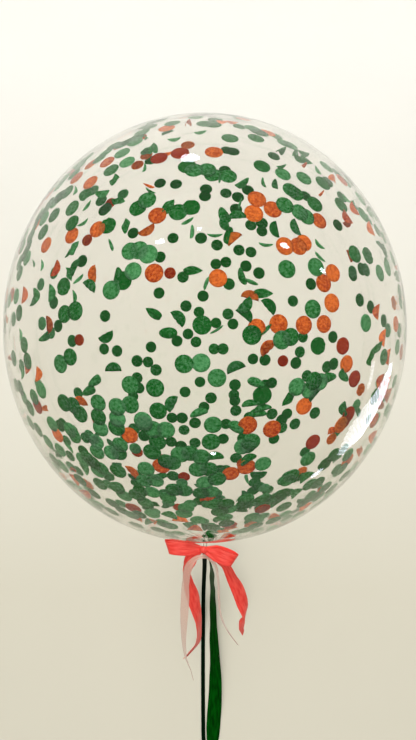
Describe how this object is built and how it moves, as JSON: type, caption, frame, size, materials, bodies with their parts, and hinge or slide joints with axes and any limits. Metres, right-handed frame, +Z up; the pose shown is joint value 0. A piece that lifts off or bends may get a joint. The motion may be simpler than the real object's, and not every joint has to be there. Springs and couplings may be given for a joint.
{
  "type": "clear bubble balloon",
  "caption": "Clear oval bubble balloon lying on its side, tied at the neck with a coral ribbon bow, a sheer blush ribbon and dark green satin ribbons.",
  "frame": {"origin": "middle of the flat spot that the balloon rests on, at floor level", "axes": "+Y along the balloon's own axis towards its crown, away from the neck; +Z up from the rest spot; +X to the right with the neck towards the viewer's feet"},
  "size_m": [0.5494, 1.0726, 0.546],
  "materials": {
    "clear_film": "thin clear stretched film, glossy",
    "coral_satin": "soft satin ribbon",
    "blush_organza": "sheer woven ribbon",
    "green_satin": "dark green satin ribbon",
    "confetti_green": "thin crinkled tissue",
    "confetti_orange": "thin crinkled tissue"
  },
  "bodies": {
    "root": {"bubble": "clear_film", "coral_bow": "coral_satin", "blush_ribbon": "blush_organza", "green_ribbon_wide": "green_satin", "green_ribbon_narrow": "green_satin", "end_knot": "green_satin"}
  },
  "joints": []
}
